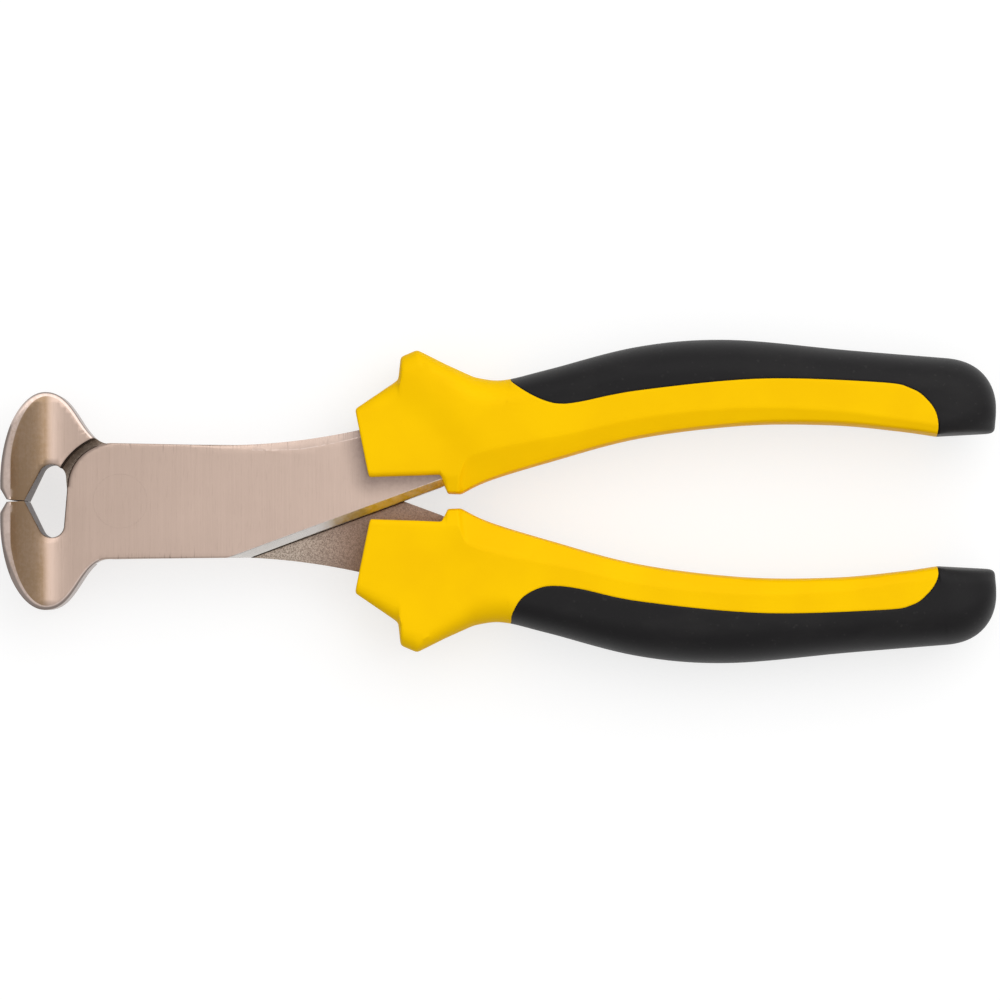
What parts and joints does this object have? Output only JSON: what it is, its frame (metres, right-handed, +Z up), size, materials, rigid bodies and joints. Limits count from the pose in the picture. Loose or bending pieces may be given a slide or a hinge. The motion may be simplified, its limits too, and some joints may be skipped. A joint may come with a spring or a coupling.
{
  "type": "end cutting pliers",
  "caption": "End cutting pliers with wide flared jaws, lapped steel halves on a flush rivet and moulded handles with hard sleeves and soft grips; the handles open and close the jaws.",
  "frame": {"origin": "on the resting plane, under the middle of the closed tool", "axes": "+X from the jaws to the handle ends, +Y from the lower handle to the upper one, +Z up along the hinge axis"},
  "size_m": [0.1992, 0.065, 0.022],
  "materials": {
    "steel": "warm satin steel, ground across the plates and blasted on the tangs",
    "hard_sleeve": "yellow moulded plastic with a satin surface",
    "soft_grip": "black soft moulded rubber, matt"
  },
  "bodies": {
    "back_lever": {"back_half": "steel", "pivot_rivet": "steel", "lower_sleeve": "hard_sleeve", "lower_grip": "soft_grip"},
    "front_lever": {"front_half": "steel", "upper_sleeve": "hard_sleeve", "upper_grip": "soft_grip"}
  },
  "joints": [
    {"name": "jaw_hinge", "type": "hinge", "parent": "back_lever", "child": "front_lever", "pos_m": [-0.07599, 0, 0.011], "axis": [0, 0, 1], "range_deg": [0, 40]}
  ]
}
